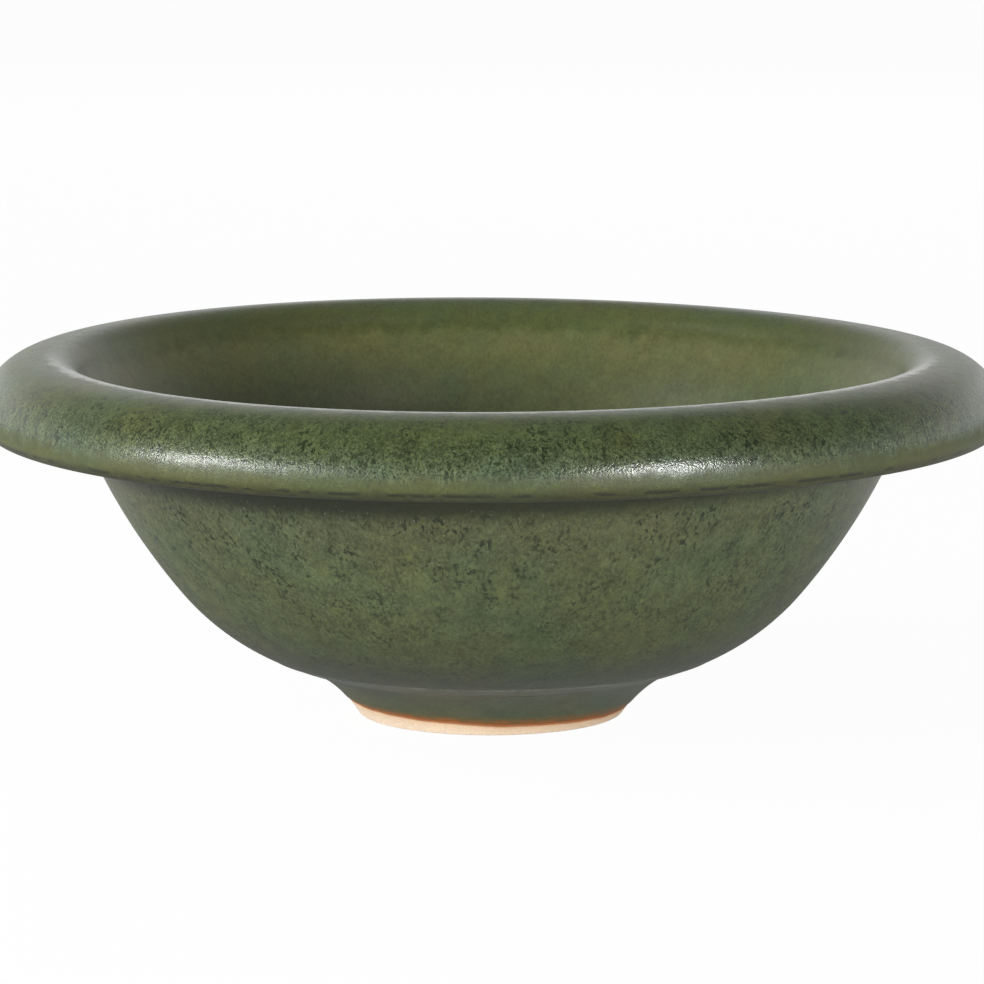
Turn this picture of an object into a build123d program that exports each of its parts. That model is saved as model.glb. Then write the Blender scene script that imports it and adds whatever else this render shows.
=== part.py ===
from build123d import *
from math import acos, cos, degrees, radians, sin
from numpy.linalg import solve
import os

# Ikebana suiban: a wide stoneware water bowl with a heavy rolled rim on a small flared foot,
# and the kenzan, the pin holder for the stems, that stands on its floor.
# Millimetres, +Z up. The origin is on the bowl's axis, in the plane that the foot stands on.
# Slopes are in degrees above the horizontal.

# Bowl, overall and over the glaze
rim_diameter = 280.0
height = 100.0
wall = 8.5
glaze = 0.5
glaze_line = 3.4  # height on the foot where the glaze stops

# Foot: a ring with a hollowed outer side and a recess turned into its underside
foot_diameter = 70.0
foot_ring_width = 8.0
foot_edge_radius = 1.0
foot_slope = 56.0
flare_slope = 26.0
crease_radius = 6.0
recess_depth = 10.0
recess_draft = 2.5
recess_fillet = 5.0

# Outside of the wall: slopes over the foot, where the belly turns into the upper wall, and at the neck
under_slope = 15.5
belly_slope = 50.5
neck_slope = 66.7

# Rolled rim: a groove over the neck, a lip, a round outer side, a flatter crest and a tight inner brow
groove_radius = 13.0
lip_radius = 3.6
lip_slope = 50.0
roll_radius = 15.6
crest_radius = 27.0
crest_turn = 17.0
brow_radius = 5.0

# Kenzan: a cast weight in a rubber ring, set with needles in rings around the middle one
weight_diameter = 58.0
weight_height = 9.0
weight_edge_radius = 0.8
ring_wall = 2.5
ring_height = 7.0
ring_pad = 1.5  # rubber between the weight and the floor
ring_flange = 7.0  # how far the pad reaches in under the weight
ring_edge_radius = 0.6
seat_clearance = 3.3  # flat floor left free around the ring
needle_diameter = 1.2
needle_length = 16.0  # above the weight
needle_root = 6.0  # inside the weight
needle_tip = 3.5
needle_point = 0.2  # diameter at the very tip
needle_spacing = 3.7
needle_margin = 2.0  # weight left bare outside the last ring of needles
needles_per_ring = 6  # each ring has this many more than the one inside it

os.makedirs("parts", exist_ok=True)


def sine(slope):
    return sin(radians(slope))


def cosine(slope):
    return cos(radians(slope))


def arc_run(slope_from, slope_to):
    # How far an arc of radius 1 leads out and up while its slope changes
    return abs(sine(slope_to) - sine(slope_from)), abs(cosine(slope_to) - cosine(slope_from))


# The clay's neck, where the wall ends under the rim's groove. The rim hangs from its edge and top.
rim_edge = rim_diameter / 2 - glaze
rim_top = height - glaze
lip_level = rim_top - crest_radius * (1 - cosine(crest_turn)) - roll_radius * cosine(crest_turn)
groove_edge = rim_edge - lip_radius * (1 + sine(lip_slope))
groove_level = lip_level - lip_radius * cosine(lip_slope)
neck_radius = groove_edge - groove_radius * (sine(lip_slope) + sine(neck_slope))
neck_level = groove_level - groove_radius * (cosine(lip_slope) - cosine(neck_slope))

# Radii of the foot's flare, the belly and the upper wall. Together they lead from the foot's edge to the
# neck, and the belly's arc is centred over the edge of the flat floor that the kenzan stands on.
weight_radius = weight_diameter / 2
seat_radius = weight_radius + ring_wall + seat_clearance
edge_out, edge_up = arc_run(0, foot_slope)
flare_out, flare_up = arc_run(foot_slope, flare_slope)
crease_out, crease_up = arc_run(flare_slope, under_slope)
belly_out, belly_up = arc_run(under_slope, belly_slope)
upper_out, upper_up = arc_run(belly_slope, neck_slope)
fixed_out = foot_diameter / 2 + foot_edge_radius * edge_out + crease_radius * crease_out
fixed_up = foot_edge_radius * edge_up + crease_radius * crease_up
flare_radius, belly_radius, upper_radius = solve(
    [[flare_out, belly_out, upper_out], [flare_up, belly_up, upper_up], [flare_out, -sine(under_slope), 0]],
    [neck_radius - fixed_out, neck_level - fixed_up, seat_radius - fixed_out],
)
belly_level = fixed_up + flare_radius * flare_up + belly_radius * cosine(under_slope)
clay_floor = belly_level - belly_radius + wall
floor_top = clay_floor + glaze


def bowl_outline(skin):
    # Draws the bowl's section from the edge of the foot, out over the rim and in to the middle of
    # the floor, at a distance skin from the clay. X is the distance from the axis, Y the height.
    # Every line and arc starts where the last one stopped, in the same direction.
    foot_edge = JernArc((foot_diameter / 2, -skin), (1, 0), foot_edge_radius + skin, foot_slope)
    flare = JernArc(foot_edge @ 1, foot_edge % 1, flare_radius - skin, flare_slope - foot_slope)
    crease = JernArc(flare @ 1, flare % 1, crease_radius - skin, under_slope - flare_slope)
    belly = JernArc(crease @ 1, crease % 1, belly_radius + skin, belly_slope - under_slope)
    upper = JernArc(belly @ 1, belly % 1, upper_radius + skin, neck_slope - belly_slope)
    groove = JernArc(upper @ 1, upper % 1, groove_radius - skin, -neck_slope - lip_slope)
    lip = JernArc(groove @ 1, groove % 1, lip_radius + skin, 90 + lip_slope)
    roll = JernArc(lip @ 1, lip % 1, roll_radius + skin, 90 - crest_turn)
    crest = JernArc(roll @ 1, roll % 1, crest_radius + skin, crest_turn)

    # Inside, a straight throat leads from the round brow to the wall, which keeps its thickness from
    # there to the flat floor.
    inside_radius = upper_radius - wall - skin
    brow_center = crest @ 1 - Vector(0, brow_radius + skin)
    between = brow_center - upper.center_point
    throat_lean = degrees(acos((inside_radius + brow_radius + skin) / between.length))
    throat_normal = between.normalized().rotate(Axis.Z, -throat_lean)
    belly_normal = Vector(sine(belly_slope), -cosine(belly_slope))
    wall_top = upper.center_point + throat_normal * inside_radius
    wall_turn = upper.center_point + belly_normal * inside_radius
    floor_edge = Vector(seat_radius, clay_floor + skin)
    brow = TangentArc(crest @ 1, brow_center - throat_normal * (brow_radius + skin), tangent=crest % 1)
    throat = Line(brow @ 1, wall_top)
    inside_upper = TangentArc(wall_top, wall_turn, tangent=throat % 1)
    TangentArc(wall_turn, floor_edge, tangent=inside_upper % 1)
    Line(floor_edge, (0, floor_edge.Y))


# Fired clay: foot ring, wall and rolled rim in one piece
with BuildPart() as stoneware_body:
    with BuildSketch(Plane.XZ):
        with BuildLine():
            bowl_outline(skin=0)
            Line((0, clay_floor), (0, recess_depth))
            recess_mouth = foot_diameter / 2 - foot_ring_width
            FilletPolyline(
                (0, recess_depth),
                (recess_mouth - recess_draft, recess_depth),
                (recess_mouth, 0),
                (foot_diameter / 2, 0),
                radius=(recess_fillet, foot_edge_radius),
            )
        make_face()
    revolve(axis=Axis.Z)
stoneware_body.part.label = "stoneware_body"
export_step(stoneware_body.part, "parts/stoneware_body.step")

# Glaze: an even skin on the clay, inside and out, that stops short of the ground on the foot
with BuildPart() as glaze_coat:
    with BuildSketch(Plane.XZ):
        with BuildLine():
            bowl_outline(skin=0)
            bowl_outline(skin=glaze)
            Line((0, clay_floor), (0, floor_top))
            Line((foot_diameter / 2, 0), (foot_diameter / 2, -glaze))
        make_face()
    revolve(axis=Axis.Z)
    split(bisect_by=Plane.XY.offset(glaze_line), keep=Keep.TOP)
glaze_coat.part.label = "glaze_coat"
export_step(glaze_coat.part, "parts/glaze_coat.step")

# Rubber ring of the kenzan: a band around the weight with a pad turned in under it
weight_base = floor_top + ring_pad
with BuildPart() as kenzan_ring:
    with BuildSketch(Plane.XZ):
        with BuildLine():
            Polyline(
                (weight_radius - ring_flange, floor_top),
                (weight_radius + ring_wall, floor_top),
                (weight_radius + ring_wall, floor_top + ring_height),
                (weight_radius, floor_top + ring_height),
                (weight_radius, weight_base),
                (weight_radius - ring_flange, weight_base),
                close=True,
            )
        make_face()
    revolve(axis=Axis.Z)
    outer_edges = kenzan_ring.edges().filter_by(GeomType.CIRCLE).sort_by(SortBy.RADIUS)[-2:]
    fillet(outer_edges, radius=ring_edge_radius)
kenzan_ring.part.label = "kenzan_ring"
export_step(kenzan_ring.part, "parts/kenzan_ring.step")

# Places of the needles: one in the middle, and rings that each hold a few more than the one inside
needle_rings = int((weight_radius - needle_margin - needle_diameter / 2) / needle_spacing)
needle_places = [Location((0, 0, 0))]
for ring in range(1, needle_rings + 1):
    needle_places += PolarLocations(ring * needle_spacing, ring * needles_per_ring).locations

# Weight of the kenzan: a cast disc with a socket for the root of each needle
weight_top = weight_base + weight_height
with BuildPart() as kenzan_weight:
    with BuildSketch(Plane.XY.offset(weight_base)):
        Circle(weight_radius)
    extrude(amount=weight_height)
    top_edge = kenzan_weight.edges().group_by(Axis.Z)[-1]
    fillet(top_edge, radius=weight_edge_radius)
    with BuildSketch(Plane.XY.offset(weight_top)):
        with Locations(needle_places):
            Circle(needle_diameter / 2)
    extrude(amount=-needle_root, mode=Mode.SUBTRACT)
kenzan_weight.part.label = "kenzan_weight"
export_step(kenzan_weight.part, "parts/kenzan_weight.step")

# One needle, from the bottom of its socket to its point
with BuildPart() as needle:
    with BuildSketch(Plane.XZ):
        with BuildLine():
            Polyline(
                (0, weight_top - needle_root),
                (needle_diameter / 2, weight_top - needle_root),
                (needle_diameter / 2, weight_top + needle_length - needle_tip),
                (needle_point / 2, weight_top + needle_length),
                (0, weight_top + needle_length),
                close=True,
            )
        make_face()
    revolve(axis=Axis.Z)

# All the needles, separate solids that share one shape
with BuildPart() as kenzan_needles:
    with Locations(needle_places):
        add(needle.part)
kenzan_needles.part.label = "kenzan_needles"
export_step(kenzan_needles.part, "parts/kenzan_needles.step")
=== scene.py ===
import bpy
from math import atan2, ceil, cos, exp, hypot, pi, radians, sin
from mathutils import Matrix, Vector


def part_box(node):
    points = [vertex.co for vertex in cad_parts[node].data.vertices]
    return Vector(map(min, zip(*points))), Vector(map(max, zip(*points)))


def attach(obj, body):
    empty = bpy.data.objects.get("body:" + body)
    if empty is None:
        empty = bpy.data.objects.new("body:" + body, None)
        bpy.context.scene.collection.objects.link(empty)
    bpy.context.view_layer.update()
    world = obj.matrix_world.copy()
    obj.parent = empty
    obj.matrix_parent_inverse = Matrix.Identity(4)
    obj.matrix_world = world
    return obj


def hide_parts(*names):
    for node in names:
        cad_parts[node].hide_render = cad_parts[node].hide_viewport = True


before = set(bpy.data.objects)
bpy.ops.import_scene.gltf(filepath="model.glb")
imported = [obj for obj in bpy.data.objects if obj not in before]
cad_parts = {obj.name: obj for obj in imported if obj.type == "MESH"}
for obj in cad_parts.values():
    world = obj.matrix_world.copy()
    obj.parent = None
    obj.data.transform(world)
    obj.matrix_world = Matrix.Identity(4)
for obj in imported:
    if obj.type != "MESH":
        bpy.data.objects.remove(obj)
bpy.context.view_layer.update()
mm = 0.001
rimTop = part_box("glaze_coat")[1][2]
print("frame loaded:", len(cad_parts), "nodes")


# Section of the clay from the edge of the foot, up over the rim and down inside to the floor.
# Each arc is (radius, turn, longest row) in mm and degrees: it starts where the last one stopped,
# in the same direction, and a turn over 0 goes left, which is outward on the foot.
bowl = {
    "footRadius": 35.0,
    "arcs": {
        "footEdge": (1.0, 56.0, 0.4),
        "footSide": (39.81, -5.9, 0.5),  # bare clay, up to the glaze
        "glazeEdge": (39.81, -1.8, 0.25),
        "flare": (39.81, -22.3, 1.6),
        "crease": (6.0, -10.5, 0.4),
        "underBelly": (65.89, 7.0, 1.6),
        "ridgeBand": (65.89, 3.5, 0.4),  # where the trimming of the foot stopped
        "belly": (65.89, 24.5, 2.4),
        "upper": (174.37, 16.2, 2.6),
        "groove": (13.0, -116.7, 2.0),
        "lip": (3.6, 140.0, 0.7),
        "roll": (15.6, 73.0, 1.6),
        "crest": (27.0, 17.0, 1.4),
        "brow": (8.0, 66.0, 0.9),
        "fade": (12.0, -16.0, 0.9),
        "throat": (79.91, 14.38, 2.2),
        "insideUpper": (165.87, -13.88, 2.6),
        "insideLower": (57.39, -50.5, 2.6),
    },
    "fewestRows": 3,  # on an arc
    "floorRows": (0.08, 0.2, 0.2, 0.2, 0.2, 0.12),  # shares of the way from the wall to the axis
    "columns": 192,
    "mergeWithin": 0.002,
}


def deselectAll():
    if bpy.context.object and bpy.context.object.mode != "OBJECT":
        bpy.ops.object.mode_set(mode="OBJECT")
    bpy.ops.object.select_all(action="DESELECT")


def selectOnly(piece):
    deselectAll()
    piece.select_set(True)
    bpy.context.view_layer.objects.active = piece


def pick(piece, kind, indices):
    # goes into edit mode with these vertices or polygons selected
    bpy.ops.object.mode_set(mode="EDIT")
    bpy.ops.mesh.select_all(action="DESELECT")
    bpy.ops.object.mode_set(mode="OBJECT")
    for index in indices:
        getattr(piece.data, kind)[index].select = True
    bpy.ops.object.mode_set(mode="EDIT")


def extrudeBy(move):
    bpy.ops.mesh.extrude_region_move(TRANSFORM_OT_translate={"value": move})


def turnAbout(center, angle, rows):
    # draws an arc from the selected point. With no window the spin turns against its axis.
    bpy.ops.mesh.spin(steps=rows, angle=angle, center=center * mm, axis=(0, 1, 0))


def writeValues(piece, name, values):
    piece.data.attributes.new(name, "FLOAT", "POINT").data.foreach_set("value", values)


def readValues(piece, name):
    values = [0.0] * len(piece.data.vertices)
    piece.data.attributes[name].data.foreach_get("value", values)
    return values


def startOutline(name, start):
    # a plane gathered to one point, from which the outline is drawn
    deselectAll()
    bpy.ops.mesh.primitive_plane_add(size=mm, location=(start.x * mm, 0, start.z * mm))
    bpy.ops.object.transform_apply(location=True, rotation=True, scale=True)
    piece = bpy.context.object
    piece.name = name
    piece.data.name = name
    bpy.ops.object.mode_set(mode="EDIT")
    bpy.ops.mesh.select_all(action="SELECT")
    bpy.ops.mesh.merge(type="CENTER")
    bpy.ops.mesh.select_all(action="SELECT")
    return piece


def leftOf(heading):
    return Vector((-sin(radians(heading)), 0, cos(radians(heading))))


def walkSection(skin):
    # where each arc of the section starts, its centre, turn, length and rows, at skin mm from the clay
    place = Vector((bowl["footRadius"], 0, -skin))
    heading = 0.0
    steps = {}
    for name, (radius, turn, row) in bowl["arcs"].items():
        side = 1 if turn > 0 else -1
        radius = radius + skin * side
        center = place + leftOf(heading) * radius * side
        length = radius * radians(abs(turn))
        rows = max(bowl["fewestRows"], ceil(length / row))
        steps[name] = {"start": place, "center": center, "turn": turn, "length": length, "rows": rows}
        heading += turn
        place = center - leftOf(heading) * radius * side
    steps["floor"] = {"start": place}
    return steps


def drawSection(steps, firstArc):
    # draws one arc after the other, then goes straight to the axis
    names = list(bowl["arcs"])
    for name in names[names.index(firstArc):]:
        step = steps[name]
        turnAbout(step["center"], radians(step["turn"]), step["rows"])
    floorRadius = steps["floor"]["start"].x
    for share in bowl["floorRows"]:
        extrudeBy((-floorRadius * share * mm, 0, 0))


def measureAlong(piece, startValue):
    # writes how far each point lies along the outline, in metres, before it is spun
    bpy.ops.object.mode_set(mode="OBJECT")
    mesh = piece.data
    neighbours = {v.index: [] for v in mesh.vertices}
    for edge in mesh.edges:
        a, b = edge.vertices
        neighbours[a].append(b)
        neighbours[b].append(a)
    along = [startValue] * len(mesh.vertices)
    here, before = 0, -1
    ahead = neighbours[here]
    while ahead:
        along[ahead[0]] = along[here] + (mesh.vertices[ahead[0]].co - mesh.vertices[here].co).length
        here, before = ahead[0], here
        ahead = [n for n in neighbours[here] if n != before]
    writeValues(piece, "along", along)


def spinRound(piece):
    bpy.ops.object.mode_set(mode="EDIT")
    bpy.ops.mesh.select_all(action="SELECT")
    bpy.ops.mesh.spin(steps=bowl["columns"], angle=2 * pi, center=(0, 0, 0), axis=(0, 0, 1))
    bpy.ops.mesh.select_all(action="SELECT")
    bpy.ops.mesh.remove_doubles(threshold=bowl["mergeWithin"] * mm)
    bpy.ops.mesh.select_all(action="SELECT")
    bpy.ops.mesh.normals_make_consistent(inside=False)
    bpy.ops.object.mode_set(mode="OBJECT")


# The small unevenness of a thrown bowl, in mm, the same for clay and glaze
handMarks = {
    "rimTilt": 0.08,  # degrees, down to the right
    "rimWarp": 0.38,  # how far the rim rises and falls, twice on its way round
    "rimLift": 0.25,
    "tiltFrom": 50.0,  # height where these three start to grow
    "lipRaise": 0.5,  # how much the lip is drawn up, most of all on the right
    "lipHeight": 86.0,
    "lipFades": 9.0,  # above and below that height
    "lipInside": 116.0,  # distance from the axis where the lip starts
    "lipGrows": 10.0,  # from there to where it is drawn up in full
    "oval": 0.25,  # how far the wall strays from round, at the rim
    "ovalWaves": [(2, 0.6, 0.7), (3, 0.4, 2.0)],  # (times round, share, start in radians)
    "footShift": 0.35,  # how far the foot sits to the left of the bowl
    "footSpread": 0.45,  # how much wider it stands on the ground
    "footTop": 12.0,  # height where both have faded out
}


def ease(share):
    return share * share * (3 - 2 * share)


def strayByHand(point):
    angle = atan2(point.y, point.x)
    radius = max(hypot(point.x, point.y), mm)
    height = point.z / mm
    high = ease(max(0.0, height - handMarks["tiltFrom"]) / (rimTop / mm - handMarks["tiltFrom"]))
    rise = (handMarks["rimLift"] - handMarks["rimWarp"] * sin(2 * angle)) * mm
    rise -= point.x * sin(radians(handMarks["rimTilt"]))
    onLip = max(0.0, 1 - abs(height - handMarks["lipHeight"]) / handMarks["lipFades"])
    onLip *= min(1.0, max(0.0, radius / mm - handMarks["lipInside"]) / handMarks["lipGrows"])
    raised = handMarks["lipRaise"] * mm * (1 + cos(angle) / 2) * onLip
    wave = sum(share * cos(times * angle + start) for times, share, start in handMarks["ovalWaves"])
    out = handMarks["oval"] * mm * (point.z / rimTop) * wave
    low = ease(max(0.0, 1 - height / handMarks["footTop"])) * min(1.0, radius / (bowl["footRadius"] * mm))
    grown = 1 + (out + handMarks["footSpread"] * mm * low) / radius
    left = handMarks["footShift"] * mm * low
    return Vector((point.x * grown - left, point.y * grown, point.z + rise * high + raised))


# Glaze: a thin closed shell over the clay
glazeCoat = {
    "thickness": 0.5,
    "hiddenSide": 0.06,  # distance of its inner side from the clay
    "edgeThickness": 0.16,
    "edgeSlant": 1.5,  # how much lower it stops on the right than in the middle
    "edgeBow": 0.6,  # how much higher it stops at the sides than in front
    "edgeWave": 0.16,
    "edgeWaves": [(3, 1.0, 0.6), (7, 0.7, 2.1), (13, 0.5, 0.0), (23, 0.4, 1.3)],  # as ovalWaves
    "slideFades": 8.0,  # how far up the foot the uneven edge is felt
    "ridgeHeight": 0.12,
    "ridgeWidth": 0.7,
    "ridgeReach": 3.0,  # widths from its middle to where it is gone
}


def glazeEdgeShift(angle):
    # how far the glaze stops above its mean line at this angle round the foot, in mm along the surface
    wave = sum(share * sin(times * angle + start) for times, share, start in glazeCoat["edgeWaves"])
    bow = glazeCoat["edgeBow"] * (1 + cos(2 * angle))
    return bow - glazeCoat["edgeSlant"] * cos(angle) + glazeCoat["edgeWave"] * wave


def slideOnFlare(point, center, slide, newReach=None):
    # moves a point of the foot's side along the section, about the centre of the flare
    radius = hypot(point.x, point.y)
    reach = Vector((radius - center.x * mm, point.z - center.z * mm))
    if newReach:
        reach = reach.normalized() * newReach * mm
    turn = -slide * mm / reach.length
    turned = Vector((reach.x * cos(turn) - reach.y * sin(turn), reach.x * sin(turn) + reach.y * cos(turn)))
    newRadius = turned.x + center.x * mm
    return Vector((point.x * newRadius / radius, point.y * newRadius / radius, turned.y + center.z * mm))


outer = walkSection(glazeCoat["thickness"])
inner = walkSection(glazeCoat["hiddenSide"])
edgeAlong = outer["footEdge"]["length"] + outer["footSide"]["length"]
belowRidge = ("footEdge", "footSide", "glazeEdge", "flare", "crease", "underBelly")
ridgeAlong = sum(outer[name]["length"] for name in belowRidge) + outer["ridgeBand"]["length"] / 2
glaze = startOutline("glaze", outer["glazeEdge"]["start"])
drawSection(outer, "glazeEdge")
measureAlong(glaze, edgeAlong * mm)
hidden = startOutline("glazeHiddenSide", inner["glazeEdge"]["start"])
drawSection(inner, "glazeEdge")
bpy.ops.object.mode_set(mode="OBJECT")
writeValues(hidden, "along", [-mm] * len(hidden.data.vertices))  # under 0, to tell it from the outside
outerCount = len(glaze.data.vertices)
selectOnly(glaze)
hidden.select_set(True)
bpy.ops.object.join()
pick(glaze, "vertices", (0, outerCount))  # first points of the two outlines
bpy.ops.mesh.edge_face_add()
spinRound(glaze)
flareCenter = outer["flare"]["center"]
flareRadius = bowl["arcs"]["flare"][0]
flareTop = outer["crease"]["start"] * mm
hiddenEdge = inner["glazeEdge"]["start"] * mm
edgeLength = outer["glazeEdge"]["length"]
bellyCenter = outer["belly"]["center"] * mm
for vertex, along in zip(glaze.data.vertices, readValues(glaze, "along")):
    point = vertex.co.copy()
    angle = atan2(point.y, point.x)
    radius = hypot(point.x, point.y)
    fromEdge = glazeCoat["slideFades"]
    if along > 0:
        fromEdge = along / mm - edgeAlong
    elif radius < flareTop.x and point.z < flareTop.z:
        fromEdge = (Vector((radius, 0, point.z)) - hiddenEdge).length / mm
    if fromEdge < glazeCoat["slideFades"]:
        fade = 1 - fromEdge / glazeCoat["slideFades"]
        newReach = None
        if along > 0 and fromEdge < edgeLength:
            bulge = (1 - (1 - fromEdge / edgeLength) ** 2) ** 0.5  # thins out in a quarter round
            growth = (glazeCoat["thickness"] - glazeCoat["edgeThickness"]) * bulge
            newReach = flareRadius - (glazeCoat["edgeThickness"] + growth)
        point = slideOnFlare(point, flareCenter, glazeEdgeShift(angle) * fade * fade, newReach)
    offRidge = (along / mm - ridgeAlong) / glazeCoat["ridgeWidth"]
    if abs(offRidge) < glazeCoat["ridgeReach"]:
        fromCenter = point - Vector((bellyCenter.x * cos(angle), bellyCenter.x * sin(angle), bellyCenter.z))
        point += fromCenter.normalized() * glazeCoat["ridgeHeight"] * mm * exp(-offRidge * offRidge)
    vertex.co = strayByHand(point)
selectOnly(glaze)
bpy.ops.object.shade_smooth()
print("glaze:", len(glaze.data.polygons), "faces")


# Clay: the whole body under the glaze, with the foot ring and the recess turned into it
footRecess = {
    "ringWidth": 8.0,
    "ringRows": (0.3, 0.4, 0.3),  # shares of the ring's face
    "ringEdge": 1.0,
    "ringEdgeRows": 5,
    "depth": 10.0,
    "draft": 2.5,
    "wallRows": 2,
    "fillet": 5.0,
    "filletRows": 8,
    "ceilingRows": 26,
    "ceilingWithin": 0.5,  # a point this near to the depth is on the ceiling
    "spiral": 0.12,  # left by the turning tool
    "spiralTurn": 2.4,  # radians per mm
    "spiralFades": 3.0,
}
# the bare clay stands nearly flush with the glaze over it
bareSwell = {"by": 0.35, "within": 0.8, "inset": 1.0}

claySteps = walkSection(0)
clay = startOutline("clayBody", claySteps["footEdge"]["start"])
drawSection(claySteps, "footEdge")
measureAlong(clay, 0)
pick(clay, "vertices", [0])
ringInside = bowl["footRadius"] - footRecess["ringWidth"]
wallLean = atan2(footRecess["depth"], footRecess["draft"])  # the recess wall, over the horizontal
cutPerRadius = (1 - cos(wallLean)) / sin(wallLean)
edgeCut = footRecess["ringEdge"] * cutPerRadius
filletCut = footRecess["fillet"] * cutPerRadius
ringFace = bowl["footRadius"] - ringInside - edgeCut
for share in footRecess["ringRows"]:
    extrudeBy((-ringFace * share * mm, 0, 0))
turnAbout(Vector((ringInside + edgeCut, 0, footRecess["ringEdge"])), -wallLean, footRecess["ringEdgeRows"])
wallLength = hypot(footRecess["depth"], footRecess["draft"]) - edgeCut - filletCut
alongWall = Vector((-cos(wallLean), 0, sin(wallLean))) * wallLength * mm
for row in range(footRecess["wallRows"]):
    extrudeBy(alongWall / footRecess["wallRows"])
ceilingEdge = ringInside - footRecess["draft"] - filletCut
filletCenter = Vector((ceilingEdge, 0, footRecess["depth"] - footRecess["fillet"]))
turnAbout(filletCenter, wallLean, footRecess["filletRows"])
for row in range(footRecess["ceilingRows"]):
    extrudeBy((-ceilingEdge / footRecess["ceilingRows"] * mm, 0, 0))
spinRound(clay)
clayEdge = claySteps["footEdge"]["length"] + claySteps["footSide"]["length"]
bare = []  # how far each point lies below the edge of the glaze
for vertex, along in zip(clay.data.vertices, readValues(clay, "along")):
    point = vertex.co.copy()
    angle = atan2(point.y, point.x)
    radius = hypot(point.x, point.y)
    below = (clayEdge + glazeEdgeShift(angle)) * mm - along
    bare.append(below)
    offCeiling = abs(point.z - footRecess["depth"] * mm)
    if radius < ceilingEdge * mm and offCeiling < footRecess["ceilingWithin"] * mm:
        spiral = cos((radius / mm) * footRecess["spiralTurn"] + angle)
        fade = min(1, (ceilingEdge * mm - radius) / (footRecess["spiralFades"] * mm))
        point.z += footRecess["spiral"] * mm * spiral * fade
    if below > 0 and radius > (bowl["footRadius"] - bareSwell["inset"]) * mm:
        swell = bareSwell["by"] * mm * min(1.0, below / (bareSwell["within"] * mm))
        point.x *= 1 + swell / radius
        point.y *= 1 + swell / radius
    vertex.co = strayByHand(point)
writeValues(clay, "bare", bare)
selectOnly(clay)
bpy.ops.object.shade_smooth()
print("clay:", len(clay.data.polygons), "faces")


# Needles of the pin holder, one modelled and the rest copied
pinHolder = {
    "sides": 8,
    "diameter": 1.2,
    "root": 1.0,  # how far the shaft goes into the weight
    "tip": 3.5,
    "tipSteps": [(0.45, 0.72), (0.35, 0.55), (0.2, 0.42)],  # (share of the tip, width against the step below)
    "spacing": 3.7,
    "rings": 7,
    "perRing": 6,
    "sharpFrom": 50.0,  # degrees between faces
}

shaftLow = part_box("kenzan_weight")[1][2] - pinHolder["root"] * mm
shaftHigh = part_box("kenzan_needles")[1][2] - pinHolder["tip"] * mm
deselectAll()
bpy.ops.mesh.primitive_cylinder_add(
    vertices=pinHolder["sides"], radius=pinHolder["diameter"] / 2 * mm, depth=shaftHigh - shaftLow,
    location=(0, 0, (shaftLow + shaftHigh) / 2))
bpy.ops.object.transform_apply(location=True, rotation=True, scale=True)
needles = bpy.context.object
needles.name = "pinNeedles"
pick(needles, "polygons", [face.index for face in needles.data.polygons if face.normal.z > 0.9])
for rise, width in pinHolder["tipSteps"]:
    extrudeBy((0, 0, pinHolder["tip"] * rise * mm))
    bpy.ops.transform.resize(value=(width, width, 1), center_override=(0, 0, 0))
bpy.ops.object.mode_set(mode="OBJECT")
copies = []
for ring in range(1, pinHolder["rings"] + 1):
    count = ring * pinHolder["perRing"]
    reach = ring * pinHolder["spacing"] * mm
    for k in range(count):
        angle = 2 * pi * k / count
        copy = needles.copy()
        copy.data = needles.data.copy()
        bpy.context.collection.objects.link(copy)
        copy.location = (reach * cos(angle), reach * sin(angle), 0)
        copies.append(copy)
selectOnly(needles)
for copy in copies:
    copy.select_set(True)
bpy.ops.object.transform_apply(location=True, rotation=False, scale=False)
bpy.ops.object.join()
bpy.ops.object.shade_smooth_by_angle(angle=radians(pinHolder["sharpFrom"]))
print("needles:", len(copies) + 1)


# Materials
def newFinish(name):
    finish = bpy.data.materials.new(name)
    finish.use_nodes = True
    tree = finish.node_tree
    shader = tree.nodes["Principled BSDF"]
    coords = tree.nodes.new("ShaderNodeTexCoord")
    inMm = tree.nodes.new("ShaderNodeVectorMath")
    inMm.operation = "SCALE"
    inMm.inputs["Scale"].default_value = 1 / mm
    tree.links.new(coords.outputs["Object"], inMm.inputs[0])
    return finish, tree, shader, inMm.outputs["Vector"]


def addNoise(tree, where, size, detail, rough):
    # soft noise with features of about size mm, from 0 to 1
    noise = tree.nodes.new("ShaderNodeTexNoise")
    noise.inputs["Scale"].default_value = 1 / size
    noise.inputs["Detail"].default_value = detail
    noise.inputs["Roughness"].default_value = rough
    tree.links.new(where, noise.inputs["Vector"])
    return noise.outputs["Fac"]


def addRamp(tree, value, stops, smooth="LINEAR"):
    # colours or greys along a value from 0 to 1
    ramp = tree.nodes.new("ShaderNodeValToRGB")
    ramp.color_ramp.interpolation = smooth
    marks = ramp.color_ramp.elements
    while len(marks) < len(stops):
        marks.new(0.5)
    for mark, (place, shade) in zip(marks, stops):
        mark.position = place
        mark.color = (*shade, 1) if isinstance(shade, tuple) else (shade, shade, shade, 1)
    tree.links.new(value, ramp.inputs["Fac"])
    return ramp.outputs["Color"]


def addMath(tree, operation, a, b=None, clamp=False):
    node = tree.nodes.new("ShaderNodeMath")
    node.operation = operation
    node.use_clamp = clamp
    for socket, value in zip(node.inputs, (a, b)):
        if isinstance(value, (int, float)):
            socket.default_value = value
        elif value is not None:
            tree.links.new(value, socket)
    return node.outputs["Value"]


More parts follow.
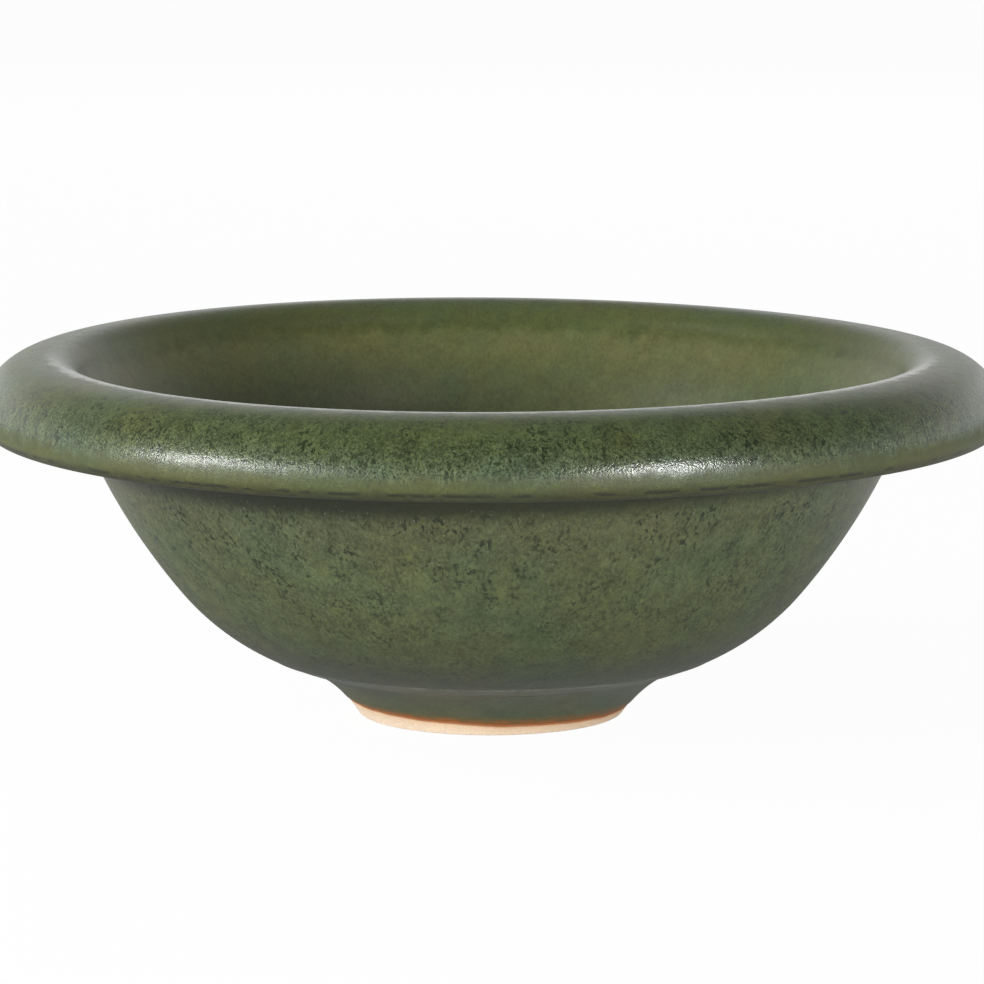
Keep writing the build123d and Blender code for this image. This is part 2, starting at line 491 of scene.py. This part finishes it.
def addMix(tree, amount, below, above, blend="MIX"):
    # lays one colour over another
    node = tree.nodes.new("ShaderNodeMix")
    node.data_type = "RGBA"
    node.blend_type = blend
    sockets = (node.inputs[0], node.inputs[6], node.inputs[7])  # the ones that a colour mix uses
    for socket, value in zip(sockets, (amount, below, above)):
        if isinstance(value, (int, float)):
            socket.default_value = value
        elif isinstance(value, tuple):
            socket.default_value = (*value, 1)
        else:
            tree.links.new(value, socket)
    return node.outputs[2]


def addBump(tree, height, shader, strength, depth):
    bump = tree.nodes.new("ShaderNodeBump")
    bump.inputs["Strength"].default_value = strength
    bump.inputs["Distance"].default_value = depth * mm
    tree.links.new(height, bump.inputs["Height"])
    tree.links.new(bump.outputs["Normal"], shader.inputs["Normal"])


# Glaze colours by zone, as (mm along the section from the foot, colour); some zones hold painted light,
# marked below
glazeZones = [
    (5, (0.088, 0.090, 0.035)),
    (12, (0.086, 0.094, 0.047)),
    (21, (0.092, 0.098, 0.053)),
    # 25 to 32: lighter grey band below the ridge, a painted reflection of the floor
    (25, (0.129, 0.133, 0.090)),
    (32, (0.125, 0.129, 0.086)),
    (35, (0.063, 0.069, 0.036)),
    (44, (0.055, 0.062, 0.028)),
    (60, (0.069, 0.081, 0.027)),
    (85, (0.081, 0.095, 0.035)),
    (103, (0.081, 0.088, 0.035)),
    (116, (0.049, 0.056, 0.019)),
    (138, (0.045, 0.050, 0.016)),
    (144, (0.034, 0.034, 0.010)),
    (146, (0.054, 0.057, 0.015)),
    (147.6, (0.064, 0.070, 0.016)),
    (149.4, (0.064, 0.072, 0.018)),
    (151.9, (0.077, 0.096, 0.044)),
    (159, (0.067, 0.080, 0.029)),
    (170, (0.070, 0.083, 0.026)),
    # 174 to 182.5: lighter grey round the crest, painted sheen
    (174, (0.080, 0.090, 0.039)),
    (178.5, (0.098, 0.107, 0.055)),
    (182.5, (0.078, 0.087, 0.031)),
    # 187 to 189: painted shade band just inside the rim
    (187, (0.062, 0.070, 0.017)),
    (189, (0.069, 0.078, 0.021)),
    # 192.5 to 197: painted band of light on the inside wall
    (192.5, (0.104, 0.109, 0.037)),
    (197, (0.108, 0.113, 0.039)),
    (206, (0.086, 0.097, 0.034)),
    (217, (0.084, 0.096, 0.033)),
    (300, (0.072, 0.083, 0.029)),
]
glazeLook = {
    "length": 335.0,  # of the section that the zones are laid on
    "zoneStray": 3.0,  # mm that the zones' borders wander
    "running": 0.55,  # how much the marks on the body are drawn out downwards
    # noises, as (size in mm, detail, roughness)
    "patch": (26.0, 5, 0.62),
    "cluster": (7.0, 3, 0.6),
    "mottle": (5.0, 4, 0.6),
    "fleck": (2.2, 2, 0.5),
    "speck": (1.2, 2, 0.6),
    "fine": (0.8, 2, 0.6),
    "spark": (0.7, 1, 0.5),
    "grain": (0.56, 1.5, 0.5),
    # how a noise turns into its mark, as (noise, amount)
    "patchRamp": [(0.4, 0.0), (0.6, 1.0)],
    "clusterRamp": [(0.42, 0.1), (0.6, 1.0)],
    "fleckRamp": [(0.6, 0.0), (0.74, 1.0)],
    "speckRamp": [(0.53, 0.0), (0.6, 1.0)],
    "sparkRamp": [(0.68, 0.0), (0.76, 1.0)],
    "pitRamp": [(0.34, 0.85), (0.52, 0.0)],
    "shadeRamp": [(0.36, 0.5), (0.5, 1.0), (0.64, 1.5)],
    "fineShare": 0.55,  # of the light and dark, and the mottle has the rest
    "mottleShare": 0.45,
    "driftTint": (0.87, 1.0, 1.15),  # what the colour wanders to in patches, against the zone's own
    "yellow": (0.120, 0.130, 0.030),
    "dark": (0.016, 0.023, 0.009),
    "light": (0.220, 0.240, 0.190),
    # by zone, as (mm along, amount)
    "marks": [
        (0, 0.4), (32, 0.5), (44, 0.65), (60, 0.72), (106, 0.85), (110, 0.3),
        (145, 0.25), (148.6, 0.35), (152.6, 1.0), (170, 0.8), (184, 0.4), (300, 0.5)],
    "flecks": [(0, 0.0), (34, 0.05), (55, 0.24), (104, 0.28), (110, 0.0)],
    "specks": [
        (0, 0.1), (24, 0.2), (50, 0.6), (70, 0.8), (98, 1.0), (107, 1.0), (110, 0.1),
        (149.4, 0.15), (152.4, 1.0), (160, 1.0), (168, 0.7), (175, 0.15), (300, 0.1)],
    "sparks": [
        (0, 0.0), (50, 0.15), (98, 0.4), (106, 0.4), (110, 0.0),
        (149.4, 0.05), (152.4, 0.35), (166, 0.15), (172, 0.0)],
    "grains": [
        (0, 0.1), (30, 0.15), (60, 0.3), (104, 0.35), (110, 0.15), (147.6, 0.12),
        (151.5, 1.0), (157, 0.9), (164, 0.4), (172, 0.15), (180, 0.04), (300, 0.08)],
    "dullness": [
        (0, 0.45), (40, 0.42), (108, 0.42), (140, 0.45), (149.6, 0.55), (151.6, 0.24),
        (159, 0.25), (166, 0.36), (175, 0.36), (180, 0.32), (184, 0.42), (300, 0.42)],
    "unevenDullness": 0.2,
    "refraction": 1.55,
    "fineRelief": 0.3,  # against the grain's
    "mottleRelief": 1.5,
    "bump": (1.0, 0.1),  # strength, depth in mm
}
# where the glaze thins out to its lower edge
rustEdge = {
    "width": 3.4,
    "shade": (0.29, 0.098, 0.012),
    "deep": (0.17, 0.085, 0.016),
    "deepRamp": [(0.4, 0.0), (0.6, 1.0)],
    "fading": [(0.0, 1.0), (0.35, 0.8), (0.65, 0.35), (1.0, 0.0)],
}
# painted shade in the corner under the rim, where the lip's shadow falls, wider on the left than on the right
paintedCornerShade = {
    "from": 104.0,
    "soft": 4.4,
    "slant": 0.028,
    "leftEnd": -40.0,  # it grows no wider left of this
    "to": 112.0,
    "gone": 116.0,
    "shade": (0.020, 0.023, 0.008),
}
# the crest is smoother in front, more and more from startY to fullY
crestLine = {
    "band": [(175, 0.0), (176.8, 1.0), (178.4, 1.0), (180, 0.0)],  # (mm along, share)
    "smoother": 0.18,
    "startY": 0.0,
    "fullY": -45.0,
}
lipDashes = {
    "at": 146.2,
    "reach": 1.0,
    "noise": (5.0, 2, 0.5),
    "ramp": [(0.44, 0.05), (0.53, 1.0)],
    "shade": (0.014, 0.016, 0.008),
}
# painted highlight: a lighter broken line along the ridge where the foot's trimming stopped
ridgeHighlight = {
    "reach": 1.2,
    "noise": (5.0, 3, 0.6),
    "ramp": [(0.4, 0.1), (0.6, 0.9)],
    "shade": (0.230, 0.235, 0.200),
}

glazeFinish, tree, shader, where = newFinish("mossGlaze")
alongNode = tree.nodes.new("ShaderNodeAttribute")
alongNode.attribute_name = "along"
alongMm = addMath(tree, "MULTIPLY", alongNode.outputs["Fac"], 1 / mm)
mottle = addNoise(tree, where, *glazeLook["mottle"])
stray = addMath(tree, "MULTIPLY", addMath(tree, "SUBTRACT", mottle, 0.5), glazeLook["zoneStray"] * 2)
strayed = addMath(tree, "ADD", alongMm, stray)
zone = addMath(tree, "DIVIDE", strayed, glazeLook["length"])


def addZones(stops):
    return addRamp(tree, zone, [(along / glazeLook["length"], shade) for along, shade in stops])


def addBand(center, reach):
    # 1 on a line round the bowl, falling to 0 at reach mm from it
    off = addMath(tree, "ABSOLUTE", addMath(tree, "SUBTRACT", alongMm, center))
    return addMath(tree, "SUBTRACT", 1.0, addMath(tree, "DIVIDE", off, reach), True)


across = tree.nodes.new("ShaderNodeSeparateXYZ")
tree.links.new(where, across.inputs["Vector"])
running = tree.nodes.new("ShaderNodeMapping")
running.inputs["Scale"].default_value = (1, 1, glazeLook["running"])
tree.links.new(where, running.inputs["Vector"])
runs = running.outputs["Vector"]

# colour: the zones with the painted shade in the corner under the rim, then what lies over them
leftward = addMath(tree, "MAXIMUM", across.outputs["X"], paintedCornerShade["leftEnd"])
cornerStart = addMath(tree, "MULTIPLY", leftward, paintedCornerShade["slant"])
cornerStart = addMath(tree, "ADD", cornerStart, paintedCornerShade["from"])
# the painted shade under the rim starts lower on the left than on the right
cornerShadowMask = addMath(tree, "DIVIDE", addMath(tree, "SUBTRACT", strayed, cornerStart), paintedCornerShade["soft"])
cornerShadowMask = addRamp(tree, cornerShadowMask, [(0.0, 0.0), (1.0, 1.0)])
cornerShadowMask = addMath(tree, "MULTIPLY", cornerShadowMask, addZones([(paintedCornerShade["to"], 1.0), (paintedCornerShade["gone"], 0.0)]))
tone = addMix(tree, cornerShadowMask, addZones(glazeZones), paintedCornerShade["shade"])
patch = addRamp(tree, addNoise(tree, where, *glazeLook["patch"]), glazeLook["patchRamp"])
tone = addMix(tree, patch, tone, glazeLook["driftTint"], "MULTIPLY")
fleck = addRamp(tree, addNoise(tree, runs, *glazeLook["fleck"]), glazeLook["fleckRamp"])
fleck = addMath(tree, "MULTIPLY", fleck, addZones(glazeLook["flecks"]))
tone = addMix(tree, fleck, tone, glazeLook["yellow"])
fine = addNoise(tree, runs, *glazeLook["fine"])
fineShade = addMath(tree, "MULTIPLY", fine, glazeLook["fineShare"])
shade = addMath(tree, "ADD", fineShade, addMath(tree, "MULTIPLY", mottle, glazeLook["mottleShare"]))
shade = addRamp(tree, shade, glazeLook["shadeRamp"])
tone = addMix(tree, addZones(glazeLook["marks"]), tone, shade, "MULTIPLY")
speck = addRamp(tree, addNoise(tree, runs, *glazeLook["speck"]), glazeLook["speckRamp"])
cluster = addRamp(tree, addNoise(tree, runs, *glazeLook["cluster"]), glazeLook["clusterRamp"])
speck = addMath(tree, "MULTIPLY", addMath(tree, "MULTIPLY", speck, cluster), addZones(glazeLook["specks"]))
tone = addMix(tree, speck, tone, glazeLook["dark"])
grain = addNoise(tree, where, *glazeLook["grain"])
grains = addZones(glazeLook["grains"])
pits = addMath(tree, "MULTIPLY", addRamp(tree, grain, glazeLook["pitRamp"]), grains)
tone = addMix(tree, pits, tone, glazeLook["dark"])
spark = addRamp(tree, addNoise(tree, where, *glazeLook["spark"]), glazeLook["sparkRamp"])
spark = addMath(tree, "MULTIPLY", spark, addZones(glazeLook["sparks"]))
tone = addMix(tree, spark, tone, glazeLook["light"])
thin = addMath(tree, "DIVIDE", addMath(tree, "SUBTRACT", alongMm, edgeAlong), rustEdge["width"])
rust = addMix(tree, addRamp(tree, mottle, rustEdge["deepRamp"]), rustEdge["shade"], rustEdge["deep"])
tone = addMix(tree, addRamp(tree, thin, rustEdge["fading"]), tone, rust)
dash = addRamp(tree, addNoise(tree, where, *lipDashes["noise"]), lipDashes["ramp"])
dash = addMath(tree, "MULTIPLY", dash, addBand(lipDashes["at"], lipDashes["reach"]))
tone = addMix(tree, dash, tone, lipDashes["shade"])
# the painted highlight on the ridge, in broken stretches
wearAndRidgeHighlight = addRamp(tree, addNoise(tree, where, *ridgeHighlight["noise"]), ridgeHighlight["ramp"])
wearAndRidgeHighlight = addMath(tree, "MULTIPLY", wearAndRidgeHighlight, addBand(ridgeAlong, ridgeHighlight["reach"]))
tone = addMix(tree, wearAndRidgeHighlight, tone, ridgeHighlight["shade"])
tree.links.new(tone, shader.inputs["Base Color"])

# shine and relief
uneven = addMath(tree, "MULTIPLY", addMath(tree, "SUBTRACT", grain, 0.5), glazeLook["unevenDullness"])
front = addMath(tree, "SUBTRACT", across.outputs["Y"], crestLine["startY"])
front = addMath(tree, "DIVIDE", front, crestLine["fullY"] - crestLine["startY"], True)
smoother = addMath(tree, "MULTIPLY", front, crestLine["smoother"])
smoother = addMath(tree, "MULTIPLY", addZones(crestLine["band"]), smoother)
dullness = addMath(tree, "SUBTRACT", addZones(glazeLook["dullness"]), smoother)
tree.links.new(addMath(tree, "ADD", dullness, uneven), shader.inputs["Roughness"])
shader.inputs["IOR"].default_value = glazeLook["refraction"]
fineRelief = addMath(tree, "MULTIPLY", fine, glazeLook["fineRelief"])
relief = addMath(tree, "ADD", addMath(tree, "MULTIPLY", grain, grains), fineRelief)
relief = addMath(tree, "ADD", relief, addMath(tree, "MULTIPLY", mottle, glazeLook["mottleRelief"]))
addBump(tree, relief, shader, *glazeLook["bump"])

# Bare clay: pale, with a burnt line where the glaze stops
clayLook = {
    "pale": (0.74, 0.61, 0.47),
    "warm": (0.78, 0.66, 0.52),
    "blush": (0.80, 0.50, 0.26),
    "burnt": (0.31, 0.088, 0.016),
    "cloud": (14.0, 4, 0.6),
    "grain": (0.6, 3, 0.6),
    "grainRamp": [(0.3, 0.86), (0.7, 1.08)],
    "lineWidth": 1.9,  # of the burnt line
    "lineStray": 1.2,
    "lineFading": [(0.0, 1.0), (0.45, 0.9), (0.75, 0.15), (1.0, 0.0)],
    "blushReach": 2.6,  # widths of the burnt line
    "blushFading": [(0.2, 0.55), (0.8, 0.0)],
    "dullness": 0.85,
    "bump": (0.3, 0.15),
}
clayFinish, tree, shader, where = newFinish("bareClay")
bareNode = tree.nodes.new("ShaderNodeAttribute")
bareNode.attribute_name = "bare"
bareMm = addMath(tree, "MULTIPLY", bareNode.outputs["Fac"], 1 / mm)
fine = addNoise(tree, where, *clayLook["grain"])
cloud = addNoise(tree, where, *clayLook["cloud"])
stray = addMath(tree, "MULTIPLY", addMath(tree, "SUBTRACT", cloud, 0.5), clayLook["lineStray"])
fromGlaze = addMath(tree, "DIVIDE", addMath(tree, "ADD", bareMm, stray), clayLook["lineWidth"])
tone = addMix(tree, cloud, clayLook["pale"], clayLook["warm"])
blush = addRamp(tree, addMath(tree, "DIVIDE", fromGlaze, clayLook["blushReach"]), clayLook["blushFading"])
tone = addMix(tree, blush, tone, clayLook["blush"])
tone = addMix(tree, addRamp(tree, fromGlaze, clayLook["lineFading"]), tone, clayLook["burnt"])
tone = addMix(tree, 1.0, tone, addRamp(tree, fine, clayLook["grainRamp"]), "MULTIPLY")
tree.links.new(tone, shader.inputs["Base Color"])
shader.inputs["Roughness"].default_value = clayLook["dullness"]
addBump(tree, fine, shader, *clayLook["bump"])

# Pin holder: dull cast lead, brass needles, black rubber
leadLook = {
    "fresh": (0.10, 0.105, 0.11),
    "wearAndRidgeHighlight": (0.22, 0.225, 0.23),
    "patch": (9.0, 5, 0.65),
    "wear": [(0.35, 0.0), (0.7, 1.0)],
    "dullness": [(0.3, 0.65), (0.7, 0.48)],
    "metal": 0.85,
    "grain": (0.8, 3, 0.6),
    "bump": (0.3, 0.2),
}
brassLook = {
    "fresh": (0.72, 0.50, 0.20),
    "wearAndRidgeHighlight": (0.38, 0.25, 0.09),
    "patch": (7.0, 4, 0.6),
    "wear": [(0.4, 0.0), (0.65, 1.0)],
    "dullness": [(0.3, 0.22), (0.7, 0.42)],
    "metal": 1.0,
}
rubberLook = {
    "fresh": (0.018, 0.018, 0.019),
    "wearAndRidgeHighlight": (0.045, 0.044, 0.042),
    "patch": (5.0, 4, 0.6),
    "wear": [(0.4, 0.0), (0.75, 1.0)],
    "dullness": [(0.3, 0.55), (0.7, 0.75)],
    "metal": 0.0,
    "grain": (0.5, 2, 0.5),
    "bump": (0.2, 0.1),
}


def wornFinish(name, look):
    # two shades and a dullness that change in patches
    finish, tree, shader, where = newFinish(name)
    patches = addNoise(tree, where, *look["patch"])
    tone = addMix(tree, addRamp(tree, patches, look["wear"]), look["fresh"], look["wearAndRidgeHighlight"])
    tree.links.new(tone, shader.inputs["Base Color"])
    tree.links.new(addRamp(tree, patches, look["dullness"]), shader.inputs["Roughness"])
    shader.inputs["Metallic"].default_value = look["metal"]
    if "grain" in look:
        addBump(tree, addNoise(tree, where, *look["grain"]), shader, *look["bump"])
    return finish


leadFinish = wornFinish("castLead", leadLook)
brassFinish = wornFinish("needleBrass", brassLook)
rubberFinish = wornFinish("ringRubber", rubberLook)
for piece, finish in ((glaze, glazeFinish), (clay, clayFinish), (needles, brassFinish)):
    piece.data.materials.clear()
    piece.data.materials.append(finish)
for node, finish in (("kenzan_weight", leadFinish), ("kenzan_ring", rubberFinish)):
    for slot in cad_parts[node].material_slots:
        slot.link = "OBJECT"
        slot.material = finish
print("materials done")

pieces = [
    (glaze, "vessel", "glaze_coat", "glaze"),
    (clay, "vessel", "stoneware_body", "clay"),
    (needles, "kenzan", "kenzan_needles", "brass"),
]
for piece, body, node, slotName in pieces:
    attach(piece, body)
    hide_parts(node)


# Floor, light and camera
studio = {
    "floorSize": 14.0,
    "floorShade": 0.9,
    "floorDullness": 0.9,
    "floorShine": 0.1,
    "whiteSeen": 0.97,  # how much of the floor's white in the picture is its own
    # how bright the floor looks in reflections, as (metres from the bowl, brightness), dimmer near the bowl
    # as a painted shadow of the bowl
    "whiteMirrored": [(0.14, 0.34), (0.32, 0.9), (0.42, 0.9), (0.6, 0.55)],
    "surround": 0.16,  # light from all round
    # how bright the surroundings look in reflections, as (height, brightness)
    "skyline": [(0.0, 1.0), (0.08, 0.95), (0.28, 0.46), (0.6, 0.18), (1.0, 0.1)],
    "skylineLean": 0.26,  # how much higher the bright part reaches behind the bowl than in front
    "boxesOver": 0.06,  # height in metres that the lamps are set round
    # name: (degrees right of the camera, degrees up, distance m, width m, height m, watts, used for)
    "boxes": {
        "leftBox": (-66, 14, 1.5, 0.42, 0.26, 9.5, "all"),
        "leftTail": (-45, 13, 1.5, 0.5, 0.2, 3.6, "gloss"),
        "leftFill": (-66, 20, 1.5, 0.5, 0.4, 7.5, "shading"),
        "rightBox": (36, 12.5, 1.5, 0.34, 0.26, 13.5, "gloss"),
        "rightFill": (36, 6, 1.5, 0.34, 0.2, 11, "shading"),
        "frontFill": (-5, 7, 2.2, 1.8, 0.3, 16, "shading"),
        "topBox": (-80, 36, 1.6, 0.8, 0.6, 10.8, "shading"),
        "backFill": (170, 18, 2.2, 1.6, 0.5, 9, "shading"),
    },
}


def addRays(tree):
    # kinds of ray, and those that come off a shiny surface or through glass
    path = tree.nodes.new("ShaderNodeLightPath")
    mirrored = addMath(tree, "MAXIMUM", path.outputs["Is Glossy Ray"], path.outputs["Is Transmission Ray"])
    return path.outputs, mirrored


deselectAll()
bpy.ops.mesh.primitive_plane_add(size=studio["floorSize"], location=(0, 0, 0))
floor = bpy.context.object
floor.name = "floor"
floorFinish = bpy.data.materials.new("paleFloor")
floorFinish.use_nodes = True
tree = floorFinish.node_tree
shader = tree.nodes["Principled BSDF"]
shader.inputs["Base Color"].default_value = (studio["floorShade"],) * 3 + (1,)
shader.inputs["Roughness"].default_value = studio["floorDullness"]
shader.inputs["Specular IOR Level"].default_value = studio["floorShine"]
glow = tree.nodes.new("ShaderNodeEmission")
rays, mirrored = addRays(tree)
coords = tree.nodes.new("ShaderNodeTexCoord")
away = tree.nodes.new("ShaderNodeVectorMath")
away.operation = "LENGTH"
tree.links.new(coords.outputs["Object"], away.inputs[0])
# the floor as seen in reflections, with the bowl's painted shadow near it
dimmed = addMath(tree, "MULTIPLY", mirrored, addRamp(tree, away.outputs["Value"], studio["whiteMirrored"]))
tree.links.new(addMath(tree, "MAXIMUM", rays["Is Camera Ray"], dimmed), glow.inputs["Strength"])
seen = addMath(tree, "MULTIPLY", rays["Is Camera Ray"], studio["whiteSeen"])
mixed = tree.nodes.new("ShaderNodeMixShader")
tree.links.new(addMath(tree, "MAXIMUM", seen, mirrored), mixed.inputs["Fac"])
tree.links.new(shader.outputs["BSDF"], mixed.inputs[1])
tree.links.new(glow.outputs["Emission"], mixed.inputs[2])
tree.links.new(mixed.outputs["Shader"], tree.nodes["Material Output"].inputs["Surface"])
floor.data.materials.append(floorFinish)

world = bpy.data.worlds.new("studio")
bpy.context.scene.world = world
world.use_nodes = True
tree = world.node_tree
backdrop = tree.nodes["Background"]
backdrop.inputs["Color"].default_value = (1, 1, 1, 1)
rays, mirrored = addRays(tree)
heading = tree.nodes.new("ShaderNodeTexCoord")
split = tree.nodes.new("ShaderNodeSeparateXYZ")
tree.links.new(heading.outputs["Generated"], split.inputs["Vector"])
lean = addMath(tree, "MULTIPLY", split.outputs["Y"], studio["skylineLean"])
skyline = addRamp(tree, addMath(tree, "SUBTRACT", split.outputs["Z"], lean), studio["skyline"], "EASE")
mirrored = addMath(tree, "MULTIPLY", mirrored, skyline)
lit = addMath(tree, "MULTIPLY", rays["Is Diffuse Ray"], studio["surround"])
strength = addMath(tree, "MAXIMUM", rays["Is Camera Ray"], addMath(tree, "MAXIMUM", mirrored, lit))
tree.links.new(strength, backdrop.inputs["Strength"])

for name, (right, up, distance, width, height, watts, usedFor) in studio["boxes"].items():
    right, up = radians(right), radians(up)
    aim = Vector((sin(right) * cos(up), -cos(right) * cos(up), sin(up)))
    deselectAll()
    bpy.ops.object.light_add(type="AREA", location=aim * distance + Vector((0, 0, studio["boxesOver"])))
    lamp = bpy.context.object
    lamp.name = name
    lamp.data.shape = "RECTANGLE"
    lamp.data.size = width
    lamp.data.size_y = height
    lamp.data.energy = watts
    lamp.visible_glossy = usedFor != "shading"
    lamp.visible_diffuse = usedFor != "gloss"
    lamp.rotation_euler = (-aim).to_track_quat("-Z", "Y").to_euler()

photoView = {
    "aimHeight": 61.04,
    "elevation": 8.9,
    "distance": 1514.4,
    "lens": 201.2,
    "sensor": 36.0,
    "farthest": 50.0,  # metres
}
elevation = radians(photoView["elevation"])
back = photoView["distance"] * mm * cos(elevation)
height = (photoView["aimHeight"] + photoView["distance"] * sin(elevation)) * mm
deselectAll()
bpy.ops.object.camera_add(location=(0, -back, height), rotation=(pi / 2 - elevation, 0, 0))
camera = bpy.context.object
camera.name = "photoCamera"
camera.data.lens = photoView["lens"]
camera.data.sensor_width = photoView["sensor"]
camera.data.clip_end = photoView["farthest"]
bpy.context.scene.camera = camera
bpy.context.scene.view_settings.view_transform = "Standard"
print("studio done")
